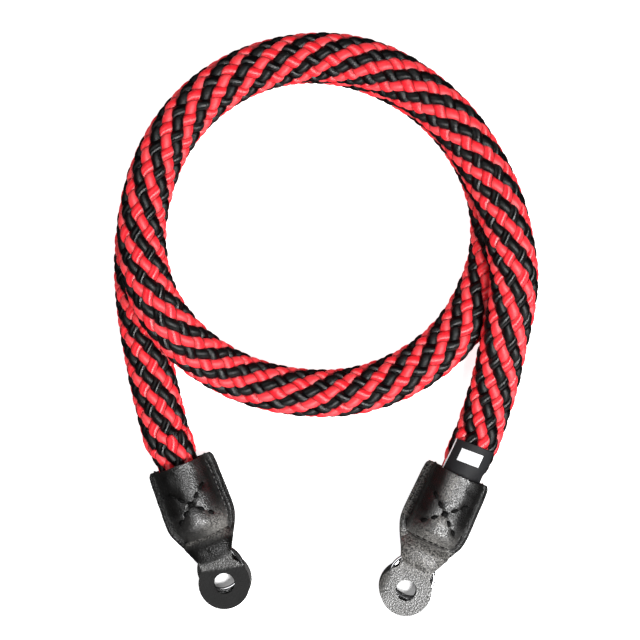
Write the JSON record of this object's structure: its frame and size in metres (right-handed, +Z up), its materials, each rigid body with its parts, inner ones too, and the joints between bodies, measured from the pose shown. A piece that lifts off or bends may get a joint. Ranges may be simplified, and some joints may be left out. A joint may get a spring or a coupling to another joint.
{
  "type": "camera strap",
  "caption": "Coiled neck strap of thick braided rope in two colours, with a stitched leather end and a steel split ring at each end.",
  "frame": {"origin": "on the floor, at the middle of the box round the two leather ends (the rope left out)", "axes": "+X to the right end, +Y from the leather ends to the coil, +Z up from the floor that the strap lies on"},
  "size_m": [0.1637, 0.2272, 0.0383],
  "materials": {
    "braided_cord": "glossy flat strands of coral red and black, braided one over one",
    "black_leather": "fine grained black leather, half gloss, stitched with black thread",
    "black_leather_back": "smooth black leather, matt",
    "polished_steel": "polished spring steel",
    "woven_tape": "fine black woven tape with a thin pale folded edge"
  },
  "bodies": {
    "root": {"braided_rope": "braided_cord", "woven_label": "woven_tape", "left_front_leather": "black_leather", "left_back_leather": "black_leather_back", "left_split_ring": "polished_steel", "left_ring_keeper": "black_leather_back", "right_front_leather": "black_leather", "right_back_leather": "black_leather_back", "right_split_ring": "polished_steel", "right_ring_keeper": "black_leather_back"}
  },
  "joints": []
}
